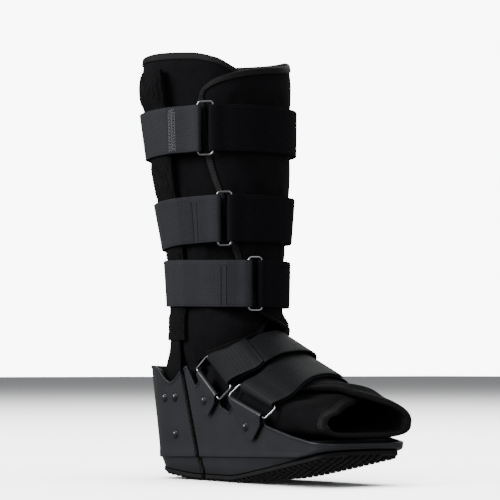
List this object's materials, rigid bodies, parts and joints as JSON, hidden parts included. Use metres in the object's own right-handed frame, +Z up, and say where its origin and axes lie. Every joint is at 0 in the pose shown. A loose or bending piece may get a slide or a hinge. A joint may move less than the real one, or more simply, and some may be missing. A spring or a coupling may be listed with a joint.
{
  "type": "medical walking boot",
  "caption": "Tall rocker-soled walking boot with a moulded shell, side uprights, a padded open-toe liner and ring-and-strap closures over leg and foot.",
  "frame": {"origin": "on the floor, on the sole's underside, in the middle of the flat part of the rocker sole and half way across it", "axes": "+Z up along the leg, -Y towards the toes, +X towards the inner side of the leg"},
  "size_m": [0.166, 0.3283, 0.4514],
  "materials": {
    "shell": "satin charcoal moulding",
    "rubber": "matte black rubber",
    "insole": "black foam pad",
    "liner": "black padded cloth",
    "binding": "woven edge tape",
    "upright": "black painted aluminium",
    "sleeve": "black brushed cloth",
    "webbing": "dark grey ribbed webbing",
    "pile": "black brushed pile",
    "ring": "polished wire",
    "rivet": "dark domed heads"
  },
  "bodies": {
    "root": {"shell": "shell", "outsole": "rubber", "insole": "insole", "leg_liner": "liner", "foot_liner": "liner", "leg_binding": "binding", "foot_binding": "binding", "upright_outer": "upright", "upright_inner": "upright", "upright_sleeve_outer": "sleeve", "upright_sleeve_inner": "sleeve", "rivet_upright_rear_outer": "rivet", "rivet_upright_front_outer": "rivet", "rivet_upright_low_outer": "rivet", "rivet_upright_rear_inner": "rivet", "rivet_upright_front_inner": "rivet", "rivet_upright_low_inner": "rivet", "webbing_top": "webbing", "webbing_middle": "webbing", "webbing_lower": "webbing", "strap_top": "pile", "strap_middle": "pile", "strap_lower": "pile", "ring_top": "ring", "ring_middle": "ring", "ring_lower": "ring", "strap_instep": "webbing", "strap_forefoot": "webbing", "tab_instep": "shell", "tab_forefoot": "shell", "ring_instep": "ring", "ring_forefoot": "ring", "rivet_instep_outer": "rivet", "rivet_instep_inner": "rivet", "rivet_forefoot_outer": "rivet", "rivet_forefoot_inner": "rivet"}
  },
  "joints": []
}
